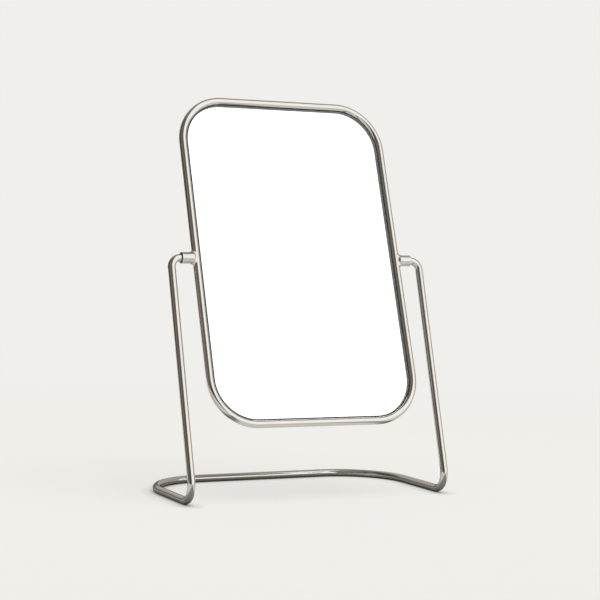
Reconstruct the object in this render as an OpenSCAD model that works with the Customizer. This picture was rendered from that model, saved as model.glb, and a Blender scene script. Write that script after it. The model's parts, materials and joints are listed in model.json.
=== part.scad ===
// Tilting table mirror: a glass in a loop of round steel rod, hung by two
// sockets on the ends of a stand that is bent from one length of the same rod.
// Millimetres. +Z is up and the glass faces -Y, leaning back. The origin is on
// the table, in the middle of the base's depth and width.

/* [Rod] */
// Diameter of the steel rod, the same in the stand and in the loop
rod_d = 6; // [5:0.5:8]
// Length of the chamfer at the tip of each pivot pin
pin_chamfer = 0.5; // [0.2:0.1:1]

/* [Mirror loop] */
// Overall width of the loop
loop_w = 179; // [140:1:240]
// Overall height of the loop
loop_h = 269; // [200:1:320]
// Outer radius of the loop's corners
loop_corner_r = 39; // [24:1:55]
// Angle that the mirror leans back at rest, from upright
lean_back = 19.5; // [0:0.5:40]

/* [Stand] */
// Height of the pivot axis over the table
pivot_h = 183; // [175:1:260]
// Overall depth of the base, from its feet to the back of its rear bar
base_depth = 123; // [105:1:200]
// Distance from the front of the feet back to the pivot axis
pivot_setback = 53.5; // [30:0.5:90]
// Radius of the bend between pin and leg, at the rod's middle
top_bend_r = 7.6; // [5:0.1:14]
// Radius of the bend between leg and base, at the rod's middle
foot_bend_r = 13; // [8:0.5:24]
// Radius of the base's rear corners, at the rod's middle
rear_bend_r = 53; // [20:1:60]

/* [Pivots] */
// Radial play between a pin and its bush
run_clear = 0.05; // [0.02:0.01:0.1]
// Wall of the nylon bush
bush_wall = 0.65; // [0.5:0.05:1.5]
// Length of the bush inside its socket
bush_len = 7.9; // [5:0.1:8]
// Thickness of the bush's flange, which is let into the mouth of the socket
flange_t = 0.6; // [0.4:0.1:1.2]
// How far the flange stands proud of the mouth of the socket
flange_proud = 0.1; // [0.05:0.05:0.3]
// Wall left of the socket around the flange
flange_lip = 0.25; // [0.15:0.05:0.5]
// Wall of the socket tube around the bush
socket_wall = 0.8; // [0.6:0.1:2]
// Length of the socket, from the side of the loop to its mouth
socket_len = 9.5; // [9.3:0.1:16]
// Play left between a flange and the start of the leg's bend
end_play = 0.5; // [0.3:0.1:1.5]
// Play left between the tip of a pin and the end of its bush's sleeve
pin_tip_play = 0.4; // [0.2:0.1:1]
// Depth to which the foot of the socket is coped over the loop's side rod
cope = 0.3; // [0.2:0.1:1]
// How far the weld between socket and loop reaches, along both
weld_leg = 2.6; // [1:0.1:3]

/* [Glass] */
// Thickness of the glass
glass_t = 3; // [2:0.5:5]
// How far the front of the glass lies ahead of the back of the rod
glass_sunk = 4; // [3.4:0.1:4.4]
// Thickness of the silver and paint on the back of the glass
silver_t = 0.1; // [0.1:0.05:0.3]
// Thickness of the rubber strip around the edge of the glass
strip_t = 0.5; // [0.4:0.1:2]
// How far the strip's front edge lies behind the front of the glass
strip_set = 0.1; // [0.05:0.05:0.5]
// Play between the rubber strip and the rod
strip_clear = 0.05; // [0.03:0.01:0.3]

/* [Back pan] */
// Sheet thickness of the pan
pan_wall = 0.8; // [0.6:0.1:1.5]
// Distance from the rod's middle in to the outside of the pan's rim
pan_inset = 1; // [0.5:0.1:1.5]
// Outer radius of the fold between the pan's floor and its rim
pan_fold_r = 0.85; // [0.65:0.05:0.9]
// Play between the pan's rim and the back of the rod, filled by the welds
rim_play = 0.08; // [0.04:0.02:0.3]
// Thickness of the foam mounting tape between glass and pan
tape_t = 2; // [1.8:0.1:3]
// Width of each strip of tape
tape_w = 19; // [12:1:25]
// Length of each strip of tape
tape_len = 120; // [80:1:160]
// Number of strips of tape, side by side
tape_count = 4; // [2:1:4]
// Length of each weld between pan and loop
bead_len = 9; // [5:1:15]
// Distance from the pivot axis to the welds on the long sides
side_bead_z = 62; // [20:1:70]
// Distance from the middle to the welds on the short sides
end_bead_x = 24; // [10:1:28]

/* [Hidden] */
$fn = 96;

STEEL = [0.72, 0.70, 0.67];
WELD = [0.66, 0.64, 0.61];
NYLON = [0.05, 0.05, 0.05];
RUBBER = [0.08, 0.08, 0.08];
CLEAR = [0.86, 0.92, 0.91, 0.5];
SILVER = [0.90, 0.91, 0.92];
TAPE = [0.16, 0.16, 0.17];

rod_r = rod_d / 2;
slip = 0.01;

// The loop's middle line, in the face frame
loop_x = loop_w / 2 - rod_r;
loop_z = loop_h / 2 - rod_r;
loop_r = loop_corner_r - rod_r;

// The pivots, along X from the middle of the loop's side rod
bush_r = rod_r + run_clear + bush_wall;
socket_r = bush_r + socket_wall;
flange_r = socket_r - flange_lip;
socket_mouth = rod_r + socket_len;
flange_end = socket_mouth + flange_proud;
flange_seat = flange_end - flange_t;
bush_end = socket_mouth - bush_len;
bend_start = flange_end + end_play;
pin_tip = bush_end + pin_tip_play;

// The weld dips a little into rod and socket, so that its edges run out on them
weld_hollow = 1.06;
weld_start = 0.9 * rod_r;
weld_top = 0.95 * socket_r;

// Most of the rim's depth that its fold may take
most_fold = 0.45;

// Where the pan's welds end on the rod, in rod radii from its middle
bead_toe = [0.6, -0.7];

// Rounds to 0.001, so that lengths which meet end to end agree to the last digit
function to_micron(x) = round(x * 1000) / 1000;

// The stand: the leg runs from the corner above the top bend down to the foot
// bend, and meets the foot bend's circle as a tangent
leg_x = loop_x + bend_start + top_bend_r;
pivot_y = pivot_setback - base_depth / 2;
rear_y = base_depth / 2 - rod_r;
foot_y = -base_depth / 2 + rod_r + foot_bend_r;
foot_z = rod_r + foot_bend_r;
foot_to_pivot = norm([pivot_y - foot_y, pivot_h - foot_z]);
leg_lean = to_micron(atan2(pivot_y - foot_y, pivot_h - foot_z) + asin(foot_bend_r / foot_to_pivot));
leg_len = to_micron(sqrt(pow(foot_to_pivot, 2) - pow(foot_bend_r, 2)));

// The stack behind the rod's middle, front to back
glass_front = rod_r - glass_sunk;
glass_back = glass_front + glass_t;
silver_back = glass_back + silver_t;
tape_back = silver_back + tape_t;
pan_back = tape_back + pan_wall;
pan_front = sqrt(pow(rod_r, 2) - pow(pan_inset, 2)) + rim_play;
fold_r = min(pan_fold_r, most_fold * (pan_back - pan_front));
bead_leg = min(pan_wall, pan_back - pan_front - fold_r);
glass_inset = rod_r + strip_clear + strip_t;

// A straight length of rod up Z, and a bend in the XY plane from +X
module rod(length) {
    cylinder(d = rod_d, h = length);
}

module bend(radius, turn) {
    rotate_extrude(angle = turn)
        translate([radius, 0])
            circle(d = rod_d);
}

// The mirror's own frame: X across, Y up the glass, Z out of its front, with
// the pivot axis along X and the rod's middle at Z = 0
module face_frame() {
    translate([0, pivot_y, pivot_h])
        rotate([90 - lean_back, 0, 0])
            children();
}

// The frame of one pivot: X out from the middle of the loop's side rod
module pivot_frame(side) {
    face_frame()
        mirror([side < 0 ? 1 : 0, 0, 0])
            translate([loop_x, 0, 0])
                children();
}

// A round part on the pivot axis, starting at x
module on_axis(x) {
    translate([x, 0, 0])
        rotate([0, 90, 0])
            children();
}

// The loop's outline, brought in from the rod's middle line
module outline(inset) {
    x = loop_x - inset;
    y = loop_z - inset;
    r = loop_r - inset;
    square([2 * x, 2 * (y - r)], center = true);
    square([2 * (x - r), 2 * y], center = true);
    for (sx = [-1, 1], sy = [-1, 1])
        translate([sx * (x - r), sy * (y - r)])
            circle(r);
}

// A sheet that follows the outline, from one depth behind the rod to another
module sheet(inset, front, back) {
    translate([0, 0, -back])
        linear_extrude(back - front)
            outline(inset);
}

// A closed loop of round bar of radius r along the outline
module round_loop(inset, r) {
    x = loop_x - inset;
    y = loop_z - inset;
    corner = loop_r - inset;
    for (s = [0, 1])
        rotate([0, 0, 180 * s]) {
            translate([x, corner - y, 0])
                rotate([-90, 0, 0])
                    cylinder(r = r, h = 2 * (y - corner));
            translate([corner - x, y, 0])
                rotate([0, 90, 0])
                    cylinder(r = r, h = 2 * (x - corner));
            translate([x - corner, y - corner, 0])
                rotate_extrude(angle = 90)
                    translate([corner, 0])
                        circle(r);
            translate([corner - x, y - corner, 0])
                rotate([0, 0, 90])
                    rotate_extrude(angle = 90)
                        translate([corner, 0])
                            circle(r);
        }
}

// One side of the stand, set out from the middle of its foot bend. Each half of
// the lean is turned by itself, so that base and leg go through the same turns
// and their ends meet exactly
module stand_side() {
    translate([leg_x, foot_y, foot_z])
        rotate([-leg_lean / 2, 0, 0]) {
            rotate([-leg_lean / 2, 0, 0])
                translate([0, -foot_bend_r, 0])
                    leg_and_pin();
            rotate([leg_lean / 2, 0, 0])
                half_base();
            difference() {
                rotate([-leg_lean / 2, 0, 0])
                    rotate([0, 90, 0])
                        rotate([0, 0, -90])
                            bend(foot_bend_r, 180);
                rotate([leg_lean / 2, 0, 0])
                    translate([-foot_z, 0, -foot_z])
                        cube(2 * foot_z);
            }
        }
}

// The leg stands on the origin here, with its pin at the top, towards the glass
module leg_and_pin() {
    rod(leg_len - top_bend_r);
    translate([-top_bend_r, 0, leg_len - top_bend_r])
        rotate([90, 0, 0])
            bend(top_bend_r, 90);
    translate([-top_bend_r - bend_start, 0, leg_len]) {
        on_axis(pin_tip + pin_chamfer)
            rod(bend_start - pin_tip - pin_chamfer);
        on_axis(pin_tip)
            cylinder(r1 = rod_r - pin_chamfer, r2 = rod_r, h = pin_chamfer);
    }
}

// Half of the U-shaped base, from under the foot bend's middle to just past the
// middle of the rear bar
module half_base() {
    corner_y = rear_y - rear_bend_r - foot_y;
    translate([0, 0, -foot_bend_r]) {
        rotate([-90, 0, 0])
            rod(corner_y);
        translate([-rear_bend_r, corner_y, 0])
            bend(rear_bend_r, 90);
        translate([-rear_bend_r, corner_y + rear_bend_r, 0])
            rotate([0, -90, 0])
                rod(leg_x - rear_bend_r + rod_r);
    }
}

// The stand: one rod from pin to pin, through two legs and a U-shaped base
module stand_rod() {
    color(STEEL)
        for (side = [0, 1])
            mirror([side, 0, 0])
                stand_side();
}

// The loop around the glass, bent from the same rod and closed by a weld
module frame_loop() {
    color(STEEL)
        face_frame()
            round_loop(0, rod_r);
}

// The outside of a socket, whose foot is coped over the loop's side rod
module socket_blank() {
    difference() {
        on_axis(rod_r - cope)
            cylinder(r = socket_r, h = socket_len + cope);
        translate([0, -loop_r, 0])
            rotate([-90, 0, 0])
                rod(2 * loop_r);
    }
}

// A blind steel tube on each side of the loop, which holds a bush
module socket(side) {
    color(STEEL)
        pivot_frame(side)
            difference() {
                socket_blank();
                on_axis(bush_end - slip)
                    cylinder(r = bush_r, h = bush_len + 2 * slip);
                on_axis(flange_seat)
                    cylinder(r = flange_r, h = flange_t);
            }
}

// The weld that wraps the outer half of the rod and runs out on the socket:
// a hollow-sided collar, trimmed towards the rod's thickness on front and back
module weld(side) {
    flare_r = socket_r + weld_leg;
    flare_x = rod_r + weld_leg;
    color(WELD)
        pivot_frame(side)
            difference() {
                intersection() {
                    rotate([0, 90, 0])
                        rotate_extrude()
                            difference() {
                                polygon([[0, 0], [rod_r + weld_leg / 2, 0], [flare_r, rod_r],
                                         [flare_r, flare_x], [0, flare_x]]);
                                translate([flare_r, flare_x])
                                    circle(weld_leg * weld_hollow);
                            }
                    translate([0, flare_r, 0])
                        rotate([90, 0, 0])
                            linear_extrude(2 * flare_r)
                                polygon([[0, -weld_start], [rod_r, -weld_top], [flare_x, -weld_top],
                                         [flare_x, weld_top], [rod_r, weld_top], [0, weld_start]]);
                }
                translate([0, -loop_r, 0])
                    rotate([-90, 0, 0])
                        rod(2 * loop_r);
                on_axis(rod_r - cope)
                    cylinder(r = socket_r, h = socket_len);
            }
}

// A flanged nylon bush, pressed into the socket; its drag holds the mirror
module bush(side) {
    color(NYLON)
        pivot_frame(side)
            difference() {
                union() {
                    on_axis(bush_end)
                        cylinder(r = bush_r, h = bush_len);
                    on_axis(flange_seat)
                        cylinder(r = flange_r, h = flange_t);
                }
                on_axis(bush_end - slip)
                    cylinder(r = rod_r + run_clear, h = bush_len + flange_proud + 2 * slip);
            }
}

module left_socket() { socket(-1); }
module right_socket() { socket(1); }
module left_weld() { weld(-1); }
module right_weld() { weld(1); }
module left_bush() { bush(-1); }
module right_bush() { bush(1); }

// Float glass with the loop's outline
module mirror_glass() {
    color(CLEAR)
        face_frame()
            sheet(glass_inset, glass_front, glass_back);
}

// The silver and its protective paint, on the back of the glass
module silver_layer() {
    color(SILVER)
        face_frame()
            sheet(glass_inset, glass_back, silver_back);
}

// A black rubber strip that cushions the edge of the glass inside the loop
module edge_strip() {
    color(RUBBER)
        face_frame()
            difference() {
                sheet(glass_inset - strip_t, glass_front + strip_set, tape_back);
                sheet(glass_inset, glass_front - slip, tape_back + slip);
            }
}

// Strips of foam tape that hold the glass to the pan, one group
module mounting_tape() {
    pitch = 2 * (loop_x - glass_inset) / tape_count;
    color(TAPE)
        face_frame()
            for (i = [0 : tape_count - 1])
                translate([(i + 0.5 - tape_count / 2) * pitch, 0, -(silver_back + tape_back) / 2])
                    cube([tape_w, tape_len, tape_t], center = true);
}

// A shallow pan, pressed from sheet, that closes the back of the loop
module back_pan() {
    color(STEEL)
        face_frame()
            difference() {
                union() {
                    sheet(pan_inset, 0, pan_back - fold_r);
                    sheet(pan_inset + fold_r, 0, pan_back);
                    translate([0, 0, fold_r - pan_back])
                        round_loop(pan_inset + fold_r, fold_r);
                }
                sheet(0, -slip, pan_front);
                sheet(pan_inset + pan_wall, 0, tape_back);
            }
}

// Short fillet welds between the pan's rim and the rod, one group. The bead
// lies along Y here, with the rod's middle at the origin and the pan on its left.
// Its two corners inside the rod are cut away with the rod
module bead() {
    rotate([90, 0, 0])
        linear_extrude(bead_len, center = true)
            difference() {
                polygon([[-pan_inset, 2 * rim_play - pan_front], [-pan_inset, -pan_front - bead_leg],
                         bead_toe * rod_r]);
                circle(rod_r);
            }
}

module pan_welds() {
    color(WELD)
        face_frame()
            for (half = [0, 180])
                rotate([0, 0, half]) {
                    for (s = [-1, 1]) {
                        translate([loop_x, s * side_bead_z, 0])
                            bead();
                        translate([s * end_bead_x, loop_z, 0])
                            rotate([0, 0, 90])
                                bead();
                    }
                }
}

stand_rod();
frame_loop();
left_socket();
right_socket();
left_weld();
right_weld();
left_bush();
right_bush();
mirror_glass();
silver_layer();
edge_strip();
mounting_tape();
back_pan();
pan_welds();
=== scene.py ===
import json
import math

import bmesh
import bpy
from mathutils import Matrix, Vector


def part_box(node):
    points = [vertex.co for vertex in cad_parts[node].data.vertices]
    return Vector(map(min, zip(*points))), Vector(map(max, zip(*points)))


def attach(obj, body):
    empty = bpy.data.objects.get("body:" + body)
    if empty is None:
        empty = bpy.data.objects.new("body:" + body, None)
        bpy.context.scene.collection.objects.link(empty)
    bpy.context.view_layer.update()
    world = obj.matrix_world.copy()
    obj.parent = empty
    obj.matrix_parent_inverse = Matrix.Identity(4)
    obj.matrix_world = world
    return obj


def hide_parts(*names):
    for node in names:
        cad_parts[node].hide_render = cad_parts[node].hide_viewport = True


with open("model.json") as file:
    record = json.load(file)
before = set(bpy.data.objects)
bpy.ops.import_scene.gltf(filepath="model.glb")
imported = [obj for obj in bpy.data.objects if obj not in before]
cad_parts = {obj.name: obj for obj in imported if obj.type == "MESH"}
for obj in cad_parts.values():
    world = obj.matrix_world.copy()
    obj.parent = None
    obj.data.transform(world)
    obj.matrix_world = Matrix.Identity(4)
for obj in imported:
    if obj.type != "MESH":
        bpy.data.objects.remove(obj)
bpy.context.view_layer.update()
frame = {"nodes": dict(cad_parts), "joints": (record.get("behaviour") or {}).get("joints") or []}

# ---------------------------------------------------------------- the stand
# One length of 6 mm stainless rod, bent cold on a jig from pin to pin: two legs
# that lean back, two tight foot bends and a U-shaped base. It is drawn rod, then
# polished to a satin, so faint lines run along it and around every bend.
MM = 0.001
ROD_RADIUS = 3 * MM
ROD_SIDES = 48
# The longest step along a straight, the turn of one step round a bend, and the fewest of those
ROD_PACE = 7 * MM
BEND_STEP = math.radians(5)
FEWEST_STEPS = 3
TOP_BEND = 7.6 * MM
FOOT_BEND = 13 * MM
REAR_BEND = 53 * MM
PIN_CHAMFER = 0.5 * MM
# Faces that meet at more than this angle keep a crisp edge
SHARP_EDGE = math.radians(38)


def run_to(line, end):
    """Carries the rod's middle line straight on to end."""
    start, way = line[-1]
    pieces = max(1, round((end - start).length / ROD_PACE))
    line += [(start.lerp(end, i / pieces), way) for i in range(1, pieces + 1)]


def bend_round(line, centre, axis, turn):
    """Carries the rod's middle line round an arc."""
    start, way = line[-1]
    pieces = max(FEWEST_STEPS, round(turn / BEND_STEP))
    for i in range(1, pieces + 1):
        swing = Matrix.Rotation(turn * i / pieces, 3, axis)
        line.append((centre + swing @ (start - centre), swing @ way))


def make_piece(name, body, slot, points, faces, *replaced):
    """A closed mesh with its normals out, crisp at its edges, riding on its body."""
    mesh = bpy.data.meshes.new(name)
    mesh.from_pydata(points, [], faces)
    shape = bmesh.new()
    shape.from_mesh(mesh)
    bmesh.ops.recalc_face_normals(shape, faces=shape.faces)
    shape.to_mesh(mesh)
    shape.free()
    mesh.shade_smooth()
    mesh.set_sharp_from_angle(angle=SHARP_EDGE)
    piece = bpy.data.objects.new(name, mesh)
    bpy.context.collection.objects.link(piece)
    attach(piece, body)
    if replaced:
        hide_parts(*replaced)
    return piece


def bands(ring_count, ring_size, closed):
    """Quads that join each ring of points to the next."""
    last = ring_count if closed else ring_count - 1
    quads = []
    for ring in range(last):
        here, there = ring * ring_size, (ring + 1) % ring_count * ring_size
        for i in range(ring_size):
            j = (i + 1) % ring_size
            quads.append((here + i, here + j, there + j, there + i))
    return quads


def swept_rod(name, body, line, closed, *replaced):
    """Round rod along a middle line. Its grain attribute holds each point's place
    on the rod before it was bent, so that the drawn lines follow the bends."""
    start, way = line[0]
    side = way.orthogonal().normalized()
    points, lengths, length = [], [], 0.0
    for i, (centre, new_way) in enumerate(line):
        side = way.rotation_difference(new_way) @ side
        way = new_way
        length += (centre - line[max(i - 1, 0)][0]).length
        lengths.append(length)
        at_tip = not closed and i in (0, len(line) - 1)
        radius = ROD_RADIUS - PIN_CHAMFER if at_tip else ROD_RADIUS
        other = way.cross(side)
        for step in range(ROD_SIDES):
            angle = math.tau * step / ROD_SIDES
            points.append(centre + radius * (math.cos(angle) * side + math.sin(angle) * other))
    faces = bands(len(line), ROD_SIDES, closed)
    if not closed:
        faces.append(tuple(range(ROD_SIDES)))
        faces.append(tuple(range(len(points) - ROD_SIDES, len(points))))
    piece = make_piece(name, body, "satin_steel", points, faces, *replaced)
    if closed:
        length += (line[0][0] - line[-1][0]).length
    mesh = piece.data
    grain = mesh.attributes.new("grain", "FLOAT_VECTOR", "CORNER")
    for face in mesh.polygons:
        rings = [mesh.loops[corner].vertex_index // ROD_SIDES for corner in face.loop_indices]
        closes = closed and len(line) - 1 in rings and 0 in rings
        for corner, ring in zip(face.loop_indices, rings):
            angle = math.tau * (mesh.loops[corner].vertex_index % ROD_SIDES) / ROD_SIDES
            along = length if closes and ring == 0 else lengths[ring]
            around = (ROD_RADIUS * math.cos(angle), ROD_RADIUS * math.sin(angle))
            grain.data[corner].vector = (*around, along)
    return piece


def shader_group(name, inputs, outputs):
    """An empty node group with float or vector sockets; a vector input's default is None."""
    group = bpy.data.node_groups.new(name, "ShaderNodeTree")
    for label, default in inputs:
        kind = "NodeSocketVector" if default is None else "NodeSocketFloat"
        socket = group.interface.new_socket(label, in_out="INPUT", socket_type=kind)
        if default is not None:
            socket.default_value = default
    for label in outputs:
        group.interface.new_socket(label, in_out="OUTPUT", socket_type="NodeSocketFloat")
    group.nodes.new("NodeGroupInput")
    group.nodes.new("NodeGroupOutput")
    return group


def add_node(tree, kind, **settings):
    """A new node with its settings filled in."""
    node = tree.nodes.new(kind)
    for name, value in settings.items():
        setattr(node, name, value)
    return node


def feed(tree, socket, source):
    """Links source to socket, or sets it where source is a plain number or colour."""
    if isinstance(source, bpy.types.NodeSocket):
        tree.links.new(source, socket)
    else:
        socket.default_value = source


def worked(tree, operation, *sources):
    """What one sum gives: the operation's name, then its numbers or sockets."""
    node = add_node(tree, "ShaderNodeMath", operation=operation)
    for socket, source in zip(node.inputs, sources):
        feed(tree, socket, source)
    return node.outputs[0]


def remapped(tree, source, low, high, new_low, new_high, smooth=False):
    """source, from low to high, spread over new_low to new_high and held there."""
    kind = "SMOOTHSTEP" if smooth else "LINEAR"
    node = add_node(tree, "ShaderNodeMapRange", interpolation_type=kind, clamp=True)
    limits = {"From Min": low, "From Max": high, "To Min": new_low, "To Max": new_high}
    for label, value in limits.items():
        feed(tree, node.inputs[label], value)
    feed(tree, node.inputs["Value"], source)
    return node.outputs["Result"]


def noise(tree, place, scale, detail=2.0):
    """Cloudy noise from 0 to 1, with scale lumps to the metre."""
    node = add_node(tree, "ShaderNodeTexNoise")
    feed(tree, node.inputs["Vector"], place)
    feed(tree, node.inputs["Scale"], scale)
    feed(tree, node.inputs["Detail"], detail)
    return node.outputs["Fac"]


def blended(tree, amount, colour_a, colour_b):
    """colour_a where amount is 0, colour_b where it is 1."""
    node = add_node(tree, "ShaderNodeMix", data_type="RGBA")
    feed(tree, node.inputs[0], amount)
    feed(tree, node.inputs[6], colour_a)
    feed(tree, node.inputs[7], colour_b)
    return node.outputs[2]


# Fine parallel lines left by drawing or brushing, long in the place's Z
drawn_lines = shader_group(
    "Drawn Lines",
    [("Place", None), ("Per metre", 9000), ("Stretch", 60)],
    ["Lines"],
)
group_in, group_out = drawn_lines.nodes
parts = add_node(drawn_lines, "ShaderNodeSeparateXYZ")
feed(drawn_lines, parts.inputs[0], group_in.outputs["Place"])
squeezed = add_node(drawn_lines, "ShaderNodeCombineXYZ")
per_metre = group_in.outputs["Per metre"]
feed(drawn_lines, squeezed.inputs[0], worked(drawn_lines, "MULTIPLY", parts.outputs[0], per_metre))
feed(drawn_lines, squeezed.inputs[1], worked(drawn_lines, "MULTIPLY", parts.outputs[1], per_metre))
shortened = worked(drawn_lines, "DIVIDE", per_metre, group_in.outputs["Stretch"])
feed(drawn_lines, squeezed.inputs[2], worked(drawn_lines, "MULTIPLY", parts.outputs[2], shortened))
lines = noise(drawn_lines, squeezed.outputs[0], scale=1.0, detail=3.0)
feed(drawn_lines, group_out.inputs["Lines"], lines)

# Soft, uneven patches where hands and cloths have rubbed the finish
CLOUDS_LOW = 0.35
CLOUDS_HIGH = 0.65
rubbed_patches = shader_group("Rubbed Patches", [("Place", None), ("Per metre", 60)], ["Patches"])
group_in, group_out = rubbed_patches.nodes
clouds = noise(rubbed_patches, group_in.outputs["Place"], group_in.outputs["Per metre"])
patches = remapped(rubbed_patches, clouds, CLOUDS_LOW, CLOUDS_HIGH, 0, 1, smooth=True)
feed(rubbed_patches, group_out.inputs["Patches"], patches)

# Edges rubbed bright: strongest where the edge attribute is 1, broken up by noise
BREAKS_LOW = 0.3
BREAKS_HIGH = 0.6
LEAST_RUBBED = 0.3
rubbed_edges = shader_group(
    "Rubbed Edges",
    [("Place", None), ("Edge", 0), ("Per metre", 900)],
    ["Worn"],
)
group_in, group_out = rubbed_edges.nodes
broken = noise(rubbed_edges, group_in.outputs["Place"], group_in.outputs["Per metre"])
broken = remapped(rubbed_edges, broken, BREAKS_LOW, BREAKS_HIGH, LEAST_RUBBED, 1)
worn = worked(rubbed_edges, "MULTIPLY", broken, group_in.outputs["Edge"])
feed(rubbed_edges, group_out.inputs["Worn"], worn)


def placed(tree, group, place, **values):
    """A group in a material, with its Place linked and its other inputs set."""
    node = add_node(tree, "ShaderNodeGroup", node_tree=group)
    feed(tree, node.inputs["Place"], place)
    for label, value in values.items():
        feed(tree, node.inputs[label.replace("_", " ")], value)
    return node.outputs[0]


def new_material(name, metallic=0.0):
    """A new material, its node tree and its shader."""
    material = bpy.data.materials.new(name)
    material.use_nodes = True
    shader = material.node_tree.nodes["Principled BSDF"]
    shader.inputs["Metallic"].default_value = metallic
    return material, material.node_tree, shader


def attribute(tree, name, output):
    """What the mesh's own attribute holds at each point."""
    return add_node(tree, "ShaderNodeAttribute", attribute_name=name).outputs[output]


def object_place(tree):
    """Where each point is on the piece, in metres, moving with it."""
    return add_node(tree, "ShaderNodeTexCoord").outputs["Object"]


def bumped(tree, shader, height, depth):
    """Gives the shader a relief that is depth metres deep where height goes from 0 to 1."""
    bump = add_node(tree, "ShaderNodeBump")
    feed(tree, bump.inputs["Strength"], 1.0)
    feed(tree, bump.inputs["Distance"], depth)
    feed(tree, bump.inputs["Height"], height)
    feed(tree, shader.inputs["Normal"], bump.outputs["Normal"])


STEEL_DARK = (0.585, 0.570, 0.545, 1)
STEEL_LIGHT = (0.645, 0.630, 0.605, 1)
STEEL_BRIGHT = (0.72, 0.71, 0.69, 1)
# How much of the unevenness is lines and not patches, and what of it the roughness follows
LINE_SHARE = 0.75
UNEVEN_LOW = 0.2
UNEVEN_HIGH = 0.8
LINE_DEPTH = 0.0015 * MM
HANDLED_PER_METRE = 45


def satin_steel(name, grain_place, per_metre, stretch, smoothest, roughest):
    """Stainless steel with a satin grain, uneven where it has been handled, bright at its edges."""
    material, tree, shader = new_material(name, metallic=1.0)
    place = object_place(tree)
    lines = placed(tree, drawn_lines, grain_place(tree), Per_metre=per_metre, Stretch=stretch)
    patches = placed(tree, rubbed_patches, place, Per_metre=HANDLED_PER_METRE)
    worn = placed(tree, rubbed_edges, place, Edge=attribute(tree, "edge", "Fac"))
    from_patches = worked(tree, "MULTIPLY", patches, 1 - LINE_SHARE)
    from_lines = worked(tree, "MULTIPLY", lines, LINE_SHARE)
    uneven = worked(tree, "ADD", from_patches, from_lines)
    steel = blended(tree, uneven, STEEL_DARK, STEEL_LIGHT)
    feed(tree, shader.inputs["Base Color"], blended(tree, worn, steel, STEEL_BRIGHT))
    dull = remapped(tree, uneven, UNEVEN_LOW, UNEVEN_HIGH, smoothest, roughest)
    polish = worked(tree, "MULTIPLY", worn, smoothest / 2)
    feed(tree, shader.inputs["Roughness"], worked(tree, "SUBTRACT", dull, polish))
    bumped(tree, shader, lines, LINE_DEPTH)
    return material


def rod_place(tree):
    """Where each point was on the rod before it was bent."""
    return attribute(tree, "grain", "Vector")


rod_steel = satin_steel(
    "satin_rod", rod_place, per_metre=6000, stretch=70, smoothest=0.07, roughest=0.13
)

pivot = Vector(frame["joints"][0]["pos_m"])
stand_low, stand_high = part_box("stand_rod")
leg_x = stand_high.x - ROD_RADIUS
foot = Vector((leg_x, stand_low.y + ROD_RADIUS + FOOT_BEND, ROD_RADIUS + FOOT_BEND))
rear_y = stand_high.y - ROD_RADIUS
corner = Vector((leg_x, pivot.y, pivot.z))
foot_to_corner = corner - foot
leg_lean = math.atan2(foot_to_corner.y, foot_to_corner.z)
leg_lean += math.asin(FOOT_BEND / foot_to_corner.length)
down_leg = Vector((0, -math.sin(leg_lean), -math.cos(leg_lean)))
out_of_foot = Vector((0, -math.cos(leg_lean), math.sin(leg_lean)))

# The pin's tip stops just short of the end of its bush's sleeve
PIN_TIP_PLAY = 0.4 * MM
pin_tip = Vector((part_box("right_bush")[0].x + PIN_TIP_PLAY, pivot.y, pivot.z))
across = Vector((1, 0, 0))
# Half of the rod, from its right pin to the middle of the base's rear
half_stand = [(pin_tip, across), (pin_tip + PIN_CHAMFER * across, across)]
run_to(half_stand, corner - TOP_BEND * across)
top_centre = corner - TOP_BEND * across + TOP_BEND * down_leg
bend_round(half_stand, top_centre, across.cross(down_leg), math.pi / 2)
run_to(half_stand, foot + FOOT_BEND * out_of_foot)
bend_round(half_stand, foot, across, math.pi / 2 + leg_lean)
run_to(half_stand, Vector((leg_x, rear_y - REAR_BEND, ROD_RADIUS)))
rear_centre = Vector((leg_x - REAR_BEND, rear_y - REAR_BEND, ROD_RADIUS))
bend_round(half_stand, rear_centre, Vector((0, 0, 1)), math.pi / 2)
run_to(half_stand, Vector((0, rear_y, ROD_RADIUS)))


def other_side(vector):
    """The same place or direction on the left-hand side."""
    return Vector((-vector.x, vector.y, vector.z))


back_again = [(other_side(point), -other_side(way)) for point, way in reversed(half_stand[:-1])]
stand = swept_rod("bent_stand", "stand", half_stand + back_again, False, "stand_rod")
stand.data.materials.append(rod_steel)

# ------------------------------------------------------------ the mirror loop
# The same rod bent into a rounded rectangle, its ends butt welded in the middle of
# the bottom side, then ground and polished flush until no seam shows.
CORNER_RADIUS = 36 * MM
loop_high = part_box("frame_loop")[1]
rise = Vector((0, loop_high.y - pivot.y - ROD_RADIUS, loop_high.z - pivot.z - ROD_RADIUS))
face_lean = math.atan2(rise.y, rise.z)
loop_x = loop_high.x - ROD_RADIUS
loop_y = rise.length
# The mirror's own frame: X across, Y up the glass, Z out of its front
face_frame = Matrix.Translation(pivot) @ Matrix.Rotation(math.pi / 2 - face_lean, 4, "X")


def from_face(point):
    """The place in the world of a point given in the mirror's own frame."""
    return face_frame @ Vector(point)


face_out = face_frame.to_3x3() @ Vector((0, 0, 1))
loop_line = [(from_face((0, -loop_y, 0)), across)]
# Round the four corners, from the bottom right one, each reached along a straight side
for x_sign, y_sign in ((1, -1), (1, 1), (-1, 1), (-1, -1)):
    centre_x = x_sign * (loop_x - CORNER_RADIUS)
    centre_y = y_sign * (loop_y - CORNER_RADIUS)
    before = (centre_x, y_sign * loop_y) if x_sign * y_sign < 0 else (x_sign * loop_x, centre_y)
    run_to(loop_line, from_face((*before, 0)))
    bend_round(loop_line, from_face((centre_x, centre_y, 0)), face_out, math.pi / 2)
run_to(loop_line, from_face((0, -loop_y, 0)))
loop = swept_rod("mirror_loop", "mirror", loop_line[:-1], True, "frame_loop")
loop.data.materials.append(rod_steel)

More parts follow.
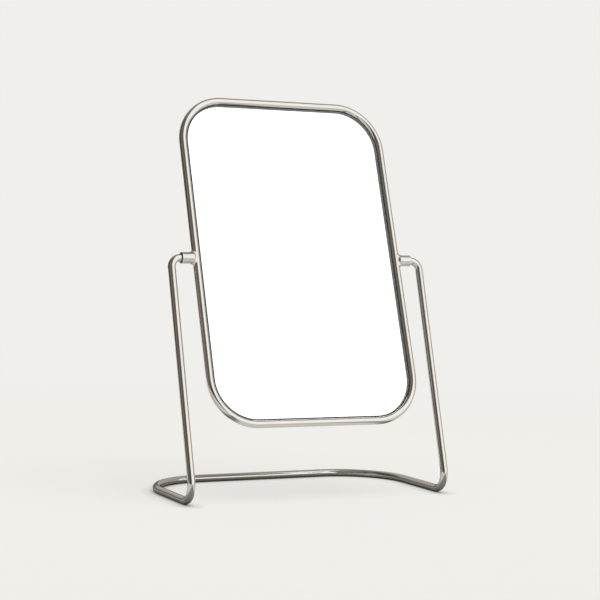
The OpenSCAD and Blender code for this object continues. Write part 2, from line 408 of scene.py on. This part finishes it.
# ---------------------------------------------------------------- the sockets
# Blind steel tubes turned from bar, one on each side of the loop, coped to the rod
# and counterbored at the mouth for the flange of their bush. The mouth is chamfered.
SOCKET_RADIUS = 4.5 * MM
BORE_RADIUS = 3.7 * MM
FLANGE_RADIUS = 4.25 * MM
FLANGE_SEAT = 12 * MM
SOCKET_START = 2.7 * MM
MOUTH_CHAMFER = 0.12 * MM
TURNED_SIDES = 64
BUSH_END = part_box("right_bush")[0].x - loop_x
SOCKET_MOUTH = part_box("right_socket")[1].x - loop_x


def turned(name, side, slot, profile, closed, *replaced):
    """A piece turned on the pivot axis: profile is (distance out from the loop's rod, radius,
    how worn the edge is)."""
    points = []
    for out, radius, edge in profile:
        for step in range(TURNED_SIDES):
            angle = math.tau * step / TURNED_SIDES
            up, front = radius * math.cos(angle), radius * math.sin(angle)
            points.append(from_face((side * (loop_x + out), up, front)))
    faces = bands(len(profile), TURNED_SIDES, closed)
    if not closed:
        faces.append(tuple(range(TURNED_SIDES)))
        faces.append(tuple(range(len(points) - TURNED_SIDES, len(points))))
    piece = make_piece(name, "mirror", slot, points, faces, *replaced)
    mark_edges(piece, [edge for out, radius, edge in profile for step in range(TURNED_SIDES)])
    return piece


def mark_edges(piece, edges):
    """Writes how near each point is to a worn edge, from 0 to 1."""
    worn = piece.data.attributes.new("edge", "FLOAT", "POINT")
    worn.data.foreach_set("value", edges)


def ring_place(tree):
    """The piece's own place with its Y left out, so that lines run round the pivot axis."""
    parts = add_node(tree, "ShaderNodeSeparateXYZ")
    feed(tree, parts.inputs[0], object_place(tree))
    flattened = add_node(tree, "ShaderNodeCombineXYZ")
    feed(tree, flattened.inputs[0], parts.outputs[0])
    feed(tree, flattened.inputs[2], parts.outputs[2])
    return flattened.outputs[0]


turned_steel = satin_steel(
    "satin_turned", ring_place, per_metre=5000, stretch=25, smoothest=0.16, roughest=0.24
)
for side, label in ((-1, "left"), (1, "right")):
    socket_profile = [
        (SOCKET_START, SOCKET_RADIUS, 0),
        (SOCKET_MOUTH - 2 * MOUTH_CHAMFER, SOCKET_RADIUS, 0),
        (SOCKET_MOUTH - MOUTH_CHAMFER, SOCKET_RADIUS, 1),
        (SOCKET_MOUTH, SOCKET_RADIUS - MOUTH_CHAMFER, 1),
        (SOCKET_MOUTH, FLANGE_RADIUS, 1),
        (FLANGE_SEAT, FLANGE_RADIUS, 0),
        (FLANGE_SEAT, BORE_RADIUS, 0),
        (BUSH_END, BORE_RADIUS, 0),
    ]
    name = f"{label}_socket_tube"
    socket = turned(name, side, "satin_steel", socket_profile, False, f"{label}_socket")
    socket.data.materials.append(turned_steel)

# ------------------------------------------------------------------ the bushes
# Moulded black nylon bushes, pressed into the sockets. Each has a thin flange at
# the mouth, and its drag on the pin holds the mirror at any angle.
PIN_BORE = 3.05 * MM
FLANGE_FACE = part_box("right_bush")[1].x - loop_x
FLANGE_ROUND = 0.06 * MM
NYLON_BLACK = (0.012, 0.012, 0.012, 1)
NYLON_GREY = (0.030, 0.030, 0.031, 1)
NYLON_ROUGHNESS = (0.42, 0.58)
SPECKLE_DEPTH = 0.004 * MM

black_nylon, tree, shader = new_material("black_nylon")
place = object_place(tree)
speckle = noise(tree, place, scale=9000)
rubbed = placed(tree, rubbed_edges, place, Edge=attribute(tree, "edge", "Fac"))
sheen = placed(tree, rubbed_patches, place, Per_metre=700)
greyed = worked(tree, "MAXIMUM", speckle, rubbed)
feed(tree, shader.inputs["Base Color"], blended(tree, greyed, NYLON_BLACK, NYLON_GREY))
feed(tree, shader.inputs["Roughness"], remapped(tree, sheen, 0, 1, *NYLON_ROUGHNESS))
bumped(tree, shader, speckle, SPECKLE_DEPTH)

for side, label in ((-1, "left"), (1, "right")):
    bush_profile = [
        (BUSH_END, PIN_BORE, 0),
        (BUSH_END, BORE_RADIUS, 0),
        (FLANGE_SEAT, BORE_RADIUS, 0),
        (FLANGE_SEAT, FLANGE_RADIUS, 0),
        (FLANGE_FACE - FLANGE_ROUND, FLANGE_RADIUS, 1),
        (FLANGE_FACE, FLANGE_RADIUS - FLANGE_ROUND, 1),
        (FLANGE_FACE, PIN_BORE + FLANGE_ROUND, 1),
        (FLANGE_FACE - FLANGE_ROUND, PIN_BORE, 0),
    ]
    bush = turned(f"{label}_nylon_bush", side, "black_nylon", bush_profile, True, f"{label}_bush")
    bush.data.materials.append(black_nylon)

# ------------------------------------------------------- the welds of the sockets
# A fillet weld around each socket's foot, run by hand, then ground and dressed until
# it flows from the tube into the rod. Slight ripples and a faint straw tint are left.
WELD_REACH = 2.6 * MM
WELD_WRAP = math.radians(90)
WELD_SIDES = 72
WELD_STEPS = 14
WELD_SUNK = 0.25 * MM
# How far the fillet climbs the tube at its front and rear, as a share of WELD_REACH
WELD_NARROWING = 0.75
WELD_STEEL = (0.60, 0.585, 0.56, 1)
WELD_STRAW = (0.60, 0.56, 0.49, 1)
STRAW_SHARE = 0.35
WELD_ROUGHNESS = (0.17, 0.27)
GRINDING_LOW = 0.3
GRINDING_HIGH = 0.7
GRINDING_SHARE = 0.1
WELD_RELIEF = 0.02 * MM

weld_steel, tree, shader = new_material("weld_steel", metallic=1.0)
place = object_place(tree)
ripples = noise(tree, place, scale=1400, detail=3.0)
grinding = placed(tree, drawn_lines, place, Per_metre=4000, Stretch=8)
tinted = placed(tree, rubbed_patches, place, Per_metre=350)
straw = worked(tree, "MULTIPLY", tinted, STRAW_SHARE)
feed(tree, shader.inputs["Base Color"], blended(tree, straw, WELD_STEEL, WELD_STRAW))
weld_dull = remapped(tree, grinding, GRINDING_LOW, GRINDING_HIGH, *WELD_ROUGHNESS)
feed(tree, shader.inputs["Roughness"], weld_dull)
relief = worked(tree, "ADD", ripples, worked(tree, "MULTIPLY", grinding, GRINDING_SHARE))
bumped(tree, shader, relief, WELD_RELIEF)


def weld_line(angle, sunk):
    """One line of the fillet, from its toe on the socket to its toe on the rod, in the
    pivot's own frame: X out from the rod's middle, Y up the glass, Z to the front."""
    up, front = math.cos(angle), math.sin(angle)
    tube_radius = SOCKET_RADIUS - sunk
    rod_radius = ROD_RADIUS - sunk
    climb = WELD_REACH * (WELD_NARROWING + (1 - WELD_NARROWING) * up * up)
    start = Vector((ROD_RADIUS + climb, tube_radius * up, tube_radius * front))
    wrap = WELD_WRAP * front
    end_y = (SOCKET_RADIUS + WELD_REACH) * up
    end = Vector((rod_radius * math.cos(wrap), end_y, rod_radius * math.sin(wrap)))
    reach = (end - start).length
    leaving = Vector((-1, 0, 0)) * reach
    round_rod = Vector((-math.sin(wrap) * abs(front), up, math.cos(wrap) * front))
    arriving = round_rod.normalized() * reach
    # A smooth curve that leaves along the tube and arrives along the rod's skin
    line = []
    for step in range(WELD_STEPS + 1):
        t = step / WELD_STEPS
        line.append(
            (2 * t**3 - 3 * t**2 + 1) * start
            + (t**3 - 2 * t**2 + t) * leaving
            + (3 * t**2 - 2 * t**3) * end
            + (t**3 - t**2) * arriving
        )
    return line


for side, label in ((-1, "left"), (1, "right")):
    points = []
    for i in range(WELD_SIDES):
        angle = math.tau * i / WELD_SIDES
        around = weld_line(angle, 0) + weld_line(angle, WELD_SUNK)[::-1]
        points += [from_face((side * (loop_x + point.x), point.y, point.z)) for point in around]
    faces = bands(WELD_SIDES, 2 * (WELD_STEPS + 1), True)
    weld = make_piece(f"{label}_socket_weld", "mirror", "weld_steel", points, faces, f"{label}_weld")
    weld.data.materials.append(weld_steel)

# ------------------------------------------------------------------- the glass
# 3 mm float glass cut to the loop's outline, its edge and both arrises ground on a
# belt so that nothing is sharp. The ground sides are a matt grey-green, the faces clear.
GLASS_THICK = 3 * MM
GLASS_FRONT = -1.0 * MM
GLASS_INSET = 3.55 * MM
GLASS_SEAM = 0.1 * MM
GLASS_PLAY = 0.02 * MM
CORNER_STEPS = 24
GLASS_CLEAR = (0.985, 0.995, 0.99, 1)
GLASS_SMEARED = (0.975, 0.99, 0.983, 1)
SMEAR_ROUGHNESS = 0.004
GLASS_INDEX = 1.52
GROUND_DARK = (0.26, 0.30, 0.29, 1)
GROUND_PALE = (0.42, 0.47, 0.455, 1)
GROUND_ROUGHNESS = (0.45, 0.65)
MARKS_LOW = 0.2
MARKS_HIGH = 0.8
MARK_DEPTH = 0.01 * MM


def outline(inset):
    """The loop's outline brought in from the rod's middle, in the mirror's own frame."""
    radius = CORNER_RADIUS - inset
    ring = []
    for quarter, (x_sign, y_sign) in enumerate(((1, 1), (-1, 1), (-1, -1), (1, -1))):
        for step in range(CORNER_STEPS + 1):
            angle = math.pi / 2 * (quarter + step / CORNER_STEPS)
            x = x_sign * (loop_x - CORNER_RADIUS) + radius * math.cos(angle)
            y = y_sign * (loop_y - CORNER_RADIUS) + radius * math.sin(angle)
            ring.append((x, y))
    return ring


def sheet_piece(name, slot, section, closed, *replaced):
    """A sheet or strip that follows the loop: section is (inset, depth behind the rod's middle,
    how worn the edge is)."""
    points, edges = [], []
    for inset, depth, edge in section:
        ring = outline(inset)
        points += [from_face((x, y, -depth)) for x, y in ring]
        edges += [edge] * len(ring)
    faces = bands(len(section), len(ring), closed)
    if not closed:
        faces.append(tuple(range(len(ring))))
        faces.append(tuple(range(len(points) - len(ring), len(points))))
    piece = make_piece(name, "mirror", slot, points, faces, *replaced)
    mark_edges(piece, edges)
    return piece


glass_edge = GLASS_INSET + GLASS_PLAY
glass_rear = GLASS_FRONT + GLASS_THICK - GLASS_PLAY
glass_section = [
    (glass_edge + GLASS_SEAM, GLASS_FRONT, 0),
    (glass_edge, GLASS_FRONT + GLASS_SEAM, 0),
    (glass_edge, glass_rear - GLASS_SEAM, 0),
    (glass_edge + GLASS_SEAM, glass_rear, 0),
]

clear_glass, tree, shader = new_material("clear_glass")
shader.inputs["Transmission Weight"].default_value = 1.0
shader.inputs["IOR"].default_value = GLASS_INDEX
smears = placed(tree, rubbed_patches, object_place(tree), Per_metre=25)
feed(tree, shader.inputs["Base Color"], blended(tree, smears, GLASS_CLEAR, GLASS_SMEARED))
feed(tree, shader.inputs["Roughness"], remapped(tree, smears, 0, 1, 0, SMEAR_ROUGHNESS))

ground_glass, tree, shader = new_material("ground_glass")
place = object_place(tree)
wheel_marks = placed(tree, drawn_lines, place, Per_metre=2500, Stretch=6)
feed(tree, shader.inputs["Base Color"], blended(tree, wheel_marks, GROUND_DARK, GROUND_PALE))
ground_dull = remapped(tree, wheel_marks, MARKS_LOW, MARKS_HIGH, *GROUND_ROUGHNESS)
feed(tree, shader.inputs["Roughness"], ground_dull)
bumped(tree, shader, wheel_marks, MARK_DEPTH)

glass = sheet_piece("float_glass", "clear_glass", glass_section, False, "mirror_glass")
glass.data.materials.append(clear_glass)
glass.data.materials.append(ground_glass)
# The sides are made of four-cornered faces and are ground; the front and back stay clear
for face in glass.data.polygons:
    if len(face.vertices) == 4:
        face.material_index = 1

# ------------------------------------------------------------------ the silver
# Silver, copper and backing paint, laid on the rear of the glass one after another
# and taken here as one thin layer. Seen through the glass it is a clean mirror.
SILVER_BRIGHT = (0.960, 0.968, 0.965, 1)
SILVER_DIM = (0.945, 0.955, 0.952, 1)
SILVER_ROUGHNESS = (0.0, 0.012)

silvering, tree, shader = new_material("silvering", metallic=1.0)
tarnish = placed(tree, rubbed_patches, object_place(tree), Per_metre=8)
feed(tree, shader.inputs["Base Color"], blended(tree, tarnish, SILVER_BRIGHT, SILVER_DIM))
feed(tree, shader.inputs["Roughness"], remapped(tree, tarnish, 0, 1, *SILVER_ROUGHNESS))
frame["nodes"]["silver_layer"].data.materials[0] = silvering

# -------------------------------------------------------------- the edge strip
# A black rubber strip around the edge of the glass, pushed in between it and the
# rod. Its front lip is rounded and stops just behind the face of the glass.
STRIP_THICK = 0.5 * MM
STRIP_FRONT = -0.9 * MM
STRIP_REAR = 4.1 * MM
STRIP_ROUND = 0.18 * MM
# How far the middle of a rounded corner is cut back, as a share of its round
LIP_SHARE = 0.3
RUBBER_BLACK = (0.008, 0.008, 0.008, 1)
RUBBER_DUSTY = (0.028, 0.028, 0.028, 1)
RUBBER_ROUGHNESS = (0.62, 0.8)
PORE_DEPTH = 0.01 * MM

strip_outer = GLASS_INSET - STRIP_THICK
lip_cut = LIP_SHARE * STRIP_ROUND
strip_section = [
    (strip_outer, STRIP_REAR, 0),
    (strip_outer, STRIP_FRONT + STRIP_ROUND, 0.5),
    (strip_outer + lip_cut, STRIP_FRONT + lip_cut, 1),
    (strip_outer + STRIP_ROUND, STRIP_FRONT, 1),
    (GLASS_INSET - STRIP_ROUND, STRIP_FRONT, 1),
    (GLASS_INSET - lip_cut, STRIP_FRONT + lip_cut, 1),
    (GLASS_INSET, STRIP_FRONT + STRIP_ROUND, 0.5),
    (GLASS_INSET, STRIP_REAR, 0),
]

black_rubber, tree, shader = new_material("black_rubber")
place = object_place(tree)
dust = placed(tree, rubbed_patches, place, Per_metre=120)
pores = noise(tree, place, scale=7000)
held_dust = worked(tree, "MULTIPLY", dust, pores)
feed(tree, shader.inputs["Base Color"], blended(tree, held_dust, RUBBER_BLACK, RUBBER_DUSTY))
feed(tree, shader.inputs["Roughness"], remapped(tree, dust, 0, 1, *RUBBER_ROUGHNESS))
bumped(tree, shader, pores, PORE_DEPTH)

strip = sheet_piece("rubber_strip", "black_rubber", strip_section, True, "edge_strip")
strip.data.materials.append(black_rubber)

# ------------------------------------------------------------ the mounting tape
# Strips of closed-cell foam tape that bond the back of the glass to the pan. They
# are sealed in, and only show if the pan is cut open.
FOAM_DARK = (0.045, 0.045, 0.048, 1)
FOAM_LIGHT = (0.10, 0.10, 0.105, 1)
FOAM_ROUGHNESS = (0.75, 0.95)
CELLS_PER_METRE = 4000
CELL_DEPTH = 0.05 * MM

foam, tree, shader = new_material("foam_tape")
place = object_place(tree)
cells = add_node(tree, "ShaderNodeTexVoronoi")
feed(tree, cells.inputs["Vector"], place)
feed(tree, cells.inputs["Scale"], CELLS_PER_METRE)
cell_wall = cells.outputs["Distance"]
feed(tree, shader.inputs["Base Color"], blended(tree, cell_wall, FOAM_DARK, FOAM_LIGHT))
feed(tree, shader.inputs["Roughness"], remapped(tree, cell_wall, 0, 1, *FOAM_ROUGHNESS))
bumped(tree, shader, cell_wall, CELL_DEPTH)
frame["nodes"]["mounting_tape"].data.materials[0] = foam

# ---------------------------------------------------------------- the back pan
# A shallow pan folded up from 0.8 mm stainless sheet, brushed up and down, that
# closes the back of the loop. Its rim stands just off the rod.
PAN_WALL = 0.8 * MM
PAN_INSET = 1.0 * MM
PAN_FOLD = 0.85 * MM
PAN_FRONT = 2.908 * MM
PAN_REAR = 4.9 * MM
FOLD_STEPS = 6
FOLD_WEAR = 0.35
SHEET_BREAK = 0.1 * MM

pan_section = []
floor_front = PAN_REAR - PAN_WALL
inner_fold = max(PAN_FOLD - PAN_WALL, SHEET_BREAK)
for step in range(FOLD_STEPS + 1):
    angle = math.pi / 2 * step / FOLD_STEPS
    inset = PAN_INSET + PAN_WALL + inner_fold * (1 - math.sin(angle))
    pan_section.append((inset, floor_front - inner_fold * (1 - math.cos(angle)), 0))
pan_section.append((PAN_INSET + PAN_WALL, PAN_FRONT + SHEET_BREAK, 0.5))
pan_section.append((PAN_INSET + PAN_WALL - SHEET_BREAK, PAN_FRONT, 1))
pan_section.append((PAN_INSET + SHEET_BREAK, PAN_FRONT, 1))
pan_section.append((PAN_INSET, PAN_FRONT + SHEET_BREAK, 0.5))
for step in range(FOLD_STEPS + 1):
    angle = math.pi / 2 * step / FOLD_STEPS
    inset = PAN_INSET + PAN_FOLD * (1 - math.cos(angle))
    pan_section.append((inset, PAN_REAR - PAN_FOLD * (1 - math.sin(angle)), FOLD_WEAR))
pan = sheet_piece("back_cover", "satin_steel", pan_section, False, "back_pan")


def face_place(tree):
    """Places with Z up the glass, so that the brushing runs up and down."""
    turn = add_node(tree, "ShaderNodeVectorRotate", rotation_type="X_AXIS")
    feed(tree, turn.inputs["Vector"], object_place(tree))
    feed(tree, turn.inputs["Angle"], face_lean)
    return turn.outputs[0]


sheet_steel = satin_steel(
    "satin_sheet", face_place, per_metre=500, stretch=90, smoothest=0.22, roughest=0.36
)
pan.data.materials.append(sheet_steel)

# ---------------------------------------------------------- the pan's welds
# Eight short fillet welds that tie the pan's rim to the back of the rod, two on
# each side of the loop, left as they were run, with their ripples showing.
BEAD_LENGTH = 9 * MM
SIDE_BEAD = 62 * MM
END_BEAD = 24 * MM
BEAD_STEPS = 40
BEAD_ARC = 8
BEAD_RIPPLES = 9
# How far a ripple stands out, as a share of the bead, and how square the bead's ends are
RIPPLE_DEPTH = 0.10
END_SQUARENESS = 8
BEAD_LEG = 0.8 * MM
BEAD_CROWN = 0.22 * MM
BEAD_SPREAD = math.radians(45)
BEAD_SUNK = 0.2 * MM
rim_angle = -math.asin(PAN_INSET / ROD_RADIUS)


def around_rod(angle, radius):
    """A point behind the rod: how far out from its middle, then how deep."""
    return radius * Vector((math.sin(angle), math.cos(angle)))


def bead_ring(t):
    """A section across the bead at t, from 0 to 1, as points around the rod's middle."""
    swell = math.sqrt(max(0.0, 1 - (2 * t - 1) ** END_SQUARENESS))
    swell *= 1 + RIPPLE_DEPTH * math.sin(math.tau * BEAD_RIPPLES * t)
    rim_toe = Vector((-PAN_INSET, PAN_FRONT + BEAD_LEG * swell))
    rod_toe = around_rod(rim_angle + BEAD_SPREAD * swell, ROD_RADIUS)
    ring = []
    for step in range(BEAD_ARC + 1):
        u = step / BEAD_ARC
        flat = rim_toe.lerp(rod_toe, u)
        ring.append(flat + BEAD_CROWN * swell * math.sin(math.pi * u) * flat.normalized())
    ring.append(around_rod(rim_angle, ROD_RADIUS - BEAD_SUNK))
    ring.append(Vector((-PAN_INSET - BEAD_SUNK, PAN_FRONT + BEAD_SUNK / 2)))
    return ring


bead_points, bead_faces = [], []
for x_side in (-1, 1):
    for y_side in (-1, 1):
        for along_side in (True, False):
            first = len(bead_points)
            for step in range(BEAD_STEPS + 1):
                t = step / BEAD_STEPS
                travel = (t - 0.5) * BEAD_LENGTH
                ring = bead_ring(t)
                for out, depth in ring:
                    if along_side:
                        place = (x_side * (loop_x + out), y_side * SIDE_BEAD + travel, -depth)
                    else:
                        place = (x_side * END_BEAD + travel, y_side * (loop_y + out), -depth)
                    bead_points.append(from_face(place))
            size = len(ring)
            for quad in bands(BEAD_STEPS + 1, size, False):
                bead_faces.append(tuple(first + i for i in quad))
            bead_faces.append(tuple(range(first, first + size)))
            bead_faces.append(tuple(range(len(bead_points) - size, len(bead_points))))
beads = make_piece("cover_welds", "mirror", "weld_steel", bead_points, bead_faces, "pan_welds")
beads.data.materials.append(weld_steel)

# ------------------------------------------------------------------- the stage
# A plain pale floor that fades into a plain pale surround, a wide soft light over
# it, and the bright and dark walls of a studio, which only the reflections show.
SURROUND = (0.871, 0.863, 0.831, 1)
FLOOR_RADIUS = 6.0
FLOOR_SIDES = 96
# How far out the floor starts to fade into the surround, and where it has faded
FADE_START = 0.42
FADE_END = 1.1
FLOOR_PAINT = (0.80, 0.79, 0.765, 1)
FLOOR_ROUGHNESS = 0.9
# Near the object the floor is this much its own glow, and the rest is lit paint
NEAR_GLOW = 0.72
# How far out from where the rods touch the floor a shadow is painted into its glow
CONTACT_SHADOW_REACH = 12 * MM
# The shadow painted into the floor beside the base's rods, which only their reflections show: how
# far out it is at its darkest, where it ends, and how bright its darkest part is
RAIL_REACH = 12 * MM
RAIL_FADE = 35 * MM
RAIL_SHADE = 0.12

rim = []
for i in range(FLOOR_SIDES):
    angle = math.tau * i / FLOOR_SIDES
    rim.append((FLOOR_RADIUS * math.cos(angle), FLOOR_RADIUS * math.sin(angle), 0))
floor_mesh = bpy.data.meshes.new("floor")
floor_mesh.from_pydata(rim, [], [tuple(range(FLOOR_SIDES))])
floor = bpy.data.objects.new("floor", floor_mesh)
bpy.context.collection.objects.link(floor)
floor_paint, tree, shader = new_material("floor_paint")
place = object_place(tree)
distance = add_node(tree, "ShaderNodeVectorMath", operation="LENGTH")
feed(tree, distance.inputs[0], place)
faded = remapped(tree, distance.outputs["Value"], FADE_START, FADE_END, NEAR_GLOW, 1, smooth=True)
feed(tree, shader.inputs["Base Color"], FLOOR_PAINT)
feed(tree, shader.inputs["Roughness"], FLOOR_ROUGHNESS)
shader.inputs["Specular IOR Level"].default_value = 0.0
glow = add_node(tree, "ShaderNodeEmission")
feed(tree, glow.inputs["Color"], SURROUND)
# A shadow painted into the floor's glow where the rods touch it, deeper where they hem it in
painted_touch_shadow = add_node(tree, "ShaderNodeAmbientOcclusion")
feed(tree, painted_touch_shadow.inputs["Distance"], CONTACT_SHADOW_REACH)
# A shadow painted into the floor's glow beside the base's rods, unseen by the camera, so the rods
# mirror it
parts = add_node(tree, "ShaderNodeSeparateXYZ")
feed(tree, parts.inputs[0], place)
from_middle = worked(tree, "ABSOLUTE", parts.outputs[0])
from_side = worked(tree, "ABSOLUTE", worked(tree, "SUBTRACT", from_middle, leg_x))
from_rear = worked(tree, "ABSOLUTE", worked(tree, "SUBTRACT", parts.outputs[1], rear_y))
from_rail = worked(tree, "MINIMUM", from_side, from_rear)
painted_rail_shadow = remapped(tree, from_rail, RAIL_REACH, RAIL_FADE, RAIL_SHADE, 1, smooth=True)
in_view = add_node(tree, "ShaderNodeLightPath").outputs["Is Camera Ray"]
rail_shadow_off_camera = worked(tree, "MAXIMUM", painted_rail_shadow, in_view)
feed(tree, glow.inputs["Strength"], worked(tree, "MULTIPLY", painted_touch_shadow.outputs["AO"], rail_shadow_off_camera))
fade = add_node(tree, "ShaderNodeMixShader")
feed(tree, fade.inputs[0], faded)
feed(tree, fade.inputs[1], shader.outputs[0])
feed(tree, fade.inputs[2], glow.outputs[0])
feed(tree, tree.nodes["Material Output"].inputs["Surface"], fade.outputs[0])
floor_mesh.materials.append(floor_paint)

# The camera stands at the object's left front, a little above the pivots
CAMERA_PLACE = Vector((-0.5668, -1.2176, 0.2002))
HEADING = math.radians(25.184)
LOOKING_DOWN = math.radians(2.105)
CAMERA_ROLL = math.radians(1.148)
LENS = 101.77
SENSOR_WIDTH = 36

ahead = math.cos(LOOKING_DOWN)
forward = Vector((
    math.sin(HEADING) * ahead,
    math.cos(HEADING) * ahead,
    -math.sin(LOOKING_DOWN),
))
right = Vector((math.cos(HEADING), -math.sin(HEADING), 0))
up = right.cross(forward)
camera_right = right * math.cos(CAMERA_ROLL) + up * math.sin(CAMERA_ROLL)
camera_up = up * math.cos(CAMERA_ROLL) - right * math.sin(CAMERA_ROLL)
camera = bpy.data.objects.new("camera", bpy.data.cameras.new("camera"))
bpy.context.collection.objects.link(camera)
camera.data.lens = LENS
camera.data.sensor_width = SENSOR_WIDTH
turn = Matrix((camera_right, camera_up, -forward)).transposed().to_4x4()
camera.matrix_world = Matrix.Translation(CAMERA_PLACE) @ turn
bpy.context.scene.camera = camera

# A wide light overhead for the floor, which the metal doesn't mirror
OVERHEAD_SIZE = 2.4
OVERHEAD_HEIGHT = 2.2
OVERHEAD_POWER = 38
overhead = bpy.data.objects.new("overhead", bpy.data.lights.new("overhead", "AREA"))
bpy.context.collection.objects.link(overhead)
overhead.location = (0, 0, OVERHEAD_HEIGHT)
overhead.data.size = OVERHEAD_SIZE
overhead.data.energy = OVERHEAD_POWER
overhead.visible_glossy = False
overhead.visible_camera = False

# The studio's walls, as seen from the object. A bearing is degrees round from the camera,
# growing to its right, and a height is degrees up from the floor. Each wall is laid over
# the ones before it, with soft edges.
ROOM_LEVEL = 0.30
WALL_BLUR = 4
WALLS = (
    # from, to, lowest, highest, brightness
    (-180, -112, -30, 62, 0.17),
    (-180, -122, 14, 60, 0.55),
    (-112, -60, -30, 62, 0.11),
    (-60, -38, -30, 70, 0.29),
    (-38, 21, -40, 62, 0.095),
    (-38, 21, 22, 62, 0.19),
    (21, 96, -12, 95, 1.42),
    (96, 180, -30, 62, 0.50),
)
# Dim walls are warmer than bright ones
DIM_TINT = (1, 0.87, 0.73, 1)
LIT_TINT = (1, 0.985, 0.96, 1)
world = bpy.data.worlds.new("studio")
bpy.context.scene.world = world
world.use_nodes = True
tree = world.node_tree


def between(tree, angle, start, end):
    """1 where the angle is from start to end and 0 elsewhere, blurred at both."""
    begun = remapped(tree, angle, start - WALL_BLUR, start + WALL_BLUR, 0, 1, smooth=True)
    unfinished = remapped(tree, angle, end - WALL_BLUR, end + WALL_BLUR, 1, 0, smooth=True)
    return worked(tree, "MULTIPLY", begun, unfinished)


aim = add_node(tree, "ShaderNodeVectorRotate", rotation_type="Z_AXIS")
feed(tree, aim.inputs["Vector"], add_node(tree, "ShaderNodeTexCoord").outputs["Generated"])
feed(tree, aim.inputs["Angle"], HEADING)
parts = add_node(tree, "ShaderNodeSeparateXYZ")
feed(tree, parts.inputs[0], aim.outputs[0])
to_camera = worked(tree, "MULTIPLY", parts.outputs[1], -1)
bearing = worked(tree, "DEGREES", worked(tree, "ARCTAN2", parts.outputs[0], to_camera))
height = worked(tree, "DEGREES", worked(tree, "ARCSINE", parts.outputs[2]))
level = ROOM_LEVEL
for start, end, lowest, highest, brightness in WALLS:
    in_bearing = between(tree, bearing, start, end)
    in_height = between(tree, height, lowest, highest)
    inside = worked(tree, "MULTIPLY", in_bearing, in_height)
    wall = add_node(tree, "ShaderNodeMix", data_type="FLOAT")
    feed(tree, wall.inputs[0], inside)
    feed(tree, wall.inputs[2], level)
    feed(tree, wall.inputs[3], brightness)
    level = wall.outputs[0]
tinted = add_node(tree, "ShaderNodeVectorMath", operation="SCALE")
feed(tree, tinted.inputs[0], blended(tree, level, DIM_TINT, LIT_TINT))
feed(tree, tinted.inputs["Scale"], level)
seen = add_node(tree, "ShaderNodeLightPath").outputs["Is Camera Ray"]
walls = blended(tree, seen, tinted.outputs[0], SURROUND)
feed(tree, tree.nodes["Background"].inputs["Color"], walls)
bpy.context.scene.view_settings.view_transform = "Standard"
